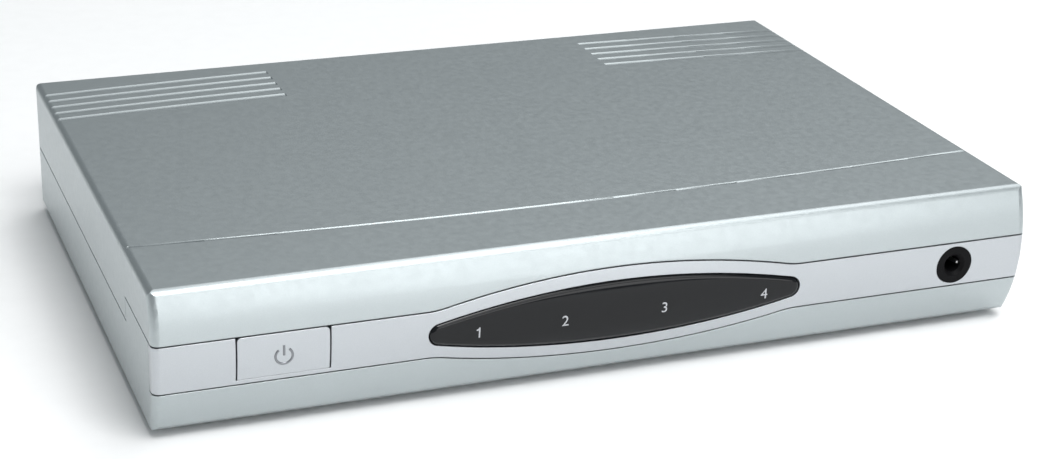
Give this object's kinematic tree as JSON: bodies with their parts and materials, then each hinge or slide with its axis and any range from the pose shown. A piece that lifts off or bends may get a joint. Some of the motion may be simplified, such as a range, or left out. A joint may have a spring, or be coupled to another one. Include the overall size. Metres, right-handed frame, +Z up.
{
  "type": "hdmi switch box",
  "caption": "Low wide silver box that passes one of several video sources to a screen, with a bulging front strip, a dark window, a rocking select button, a remote jack and rear sockets.",
  "frame": {"origin": "under the middle of the box, on the surface that its feet stand on", "axes": "+X to the right seen from the front, along the longest side; +Y from front to back; +Z up"},
  "size_m": [0.182, 0.1254, 0.0305],
  "materials": {
    "case_silver": "satin silver paint",
    "strip_silver": "satin silver paint",
    "window_black": "gloss smoked black",
    "panel_dark": "fine matt texture",
    "board_green": "solder mask",
    "shell_steel": "tinned sheet",
    "insulator_black": "matt",
    "contact_gold": "gold plated",
    "contact_tin": "tin plated",
    "led_clear": "clear",
    "chip_black": "moulded",
    "ferrite": "matt",
    "can_aluminium": "sleeved can",
    "screw_steel": "zinc plated",
    "foot_rubber": "matt"
  },
  "bodies": {
    "case": {"top_cover": "case_silver", "bottom_tray": "case_silver", "front_panel": "strip_silver", "display_window": "window_black", "rear_panel": "panel_dark", "main_board": "board_green", "hdmi_shell_1": "shell_steel", "hdmi_shell_2": "shell_steel", "hdmi_shell_3": "shell_steel", "hdmi_shell_4": "shell_steel", "hdmi_shell_5": "shell_steel", "tact_switch_bracket": "shell_steel", "crystal": "shell_steel", "hdmi_insulator_1": "insulator_black", "hdmi_insulator_2": "insulator_black", "hdmi_insulator_3": "insulator_black", "hdmi_insulator_4": "insulator_black", "hdmi_insulator_5": "insulator_black", "power_jack_body": "insulator_black", "remote_jack_body": "insulator_black", "tact_switch_body": "insulator_black", "led_holder_1": "insulator_black", "led_holder_2": "insulator_black", "led_holder_3": "insulator_black", "led_holder_4": "insulator_black", "hdmi_contacts_1": "contact_gold", "hdmi_contacts_2": "contact_gold", "hdmi_contacts_3": "contact_gold", "hdmi_contacts_4": "contact_gold", "hdmi_contacts_5": "contact_gold", "power_jack_pin": "contact_tin", "power_jack_contacts": "contact_tin", "remote_jack_contacts": "contact_tin", "tact_switch_pins": "contact_tin", "led_leads": "contact_tin", "ir_receiver_leads": "contact_tin", "led_1": "led_clear", "led_2": "led_clear", "led_3": "led_clear", "led_4": "led_clear", "ir_receiver": "chip_black", "hdmi_switch_chip": "chip_black", "buffer_chips": "chip_black", "controller_chip": "chip_black", "voltage_regulator": "chip_black", "inductor": "ferrite", "capacitors": "can_aluminium", "case_screws": "screw_steel", "board_screws": "screw_steel", "rubber_foot_front_left": "foot_rubber", "rubber_foot_front_right": "foot_rubber", "rubber_foot_rear_left": "foot_rubber", "rubber_foot_rear_right": "foot_rubber"},
    "select_button": {"select_button": "strip_silver"},
    "switch_plunger": {"tact_switch_plunger": "insulator_black"}
  },
  "joints": [
    {"name": "select_button_hinge", "type": "hinge", "parent": "case", "child": "select_button", "pos_m": [-0.0668, -0.05937, 0.01268], "axis": [-1, 0, 0], "range_deg": [0, 4], "stiffness_Nm_per_rad": 0.02},
    {"name": "switch_plunger_slide", "type": "slide", "parent": "case", "child": "switch_plunger", "axis": [0, 1, 0], "range_m": [0, 0.00025]}
  ],
  "couplings": [
    {"joint": "switch_plunger_slide", "follows": "select_button_hinge", "m_per_rad": 0.0035}
  ]
}
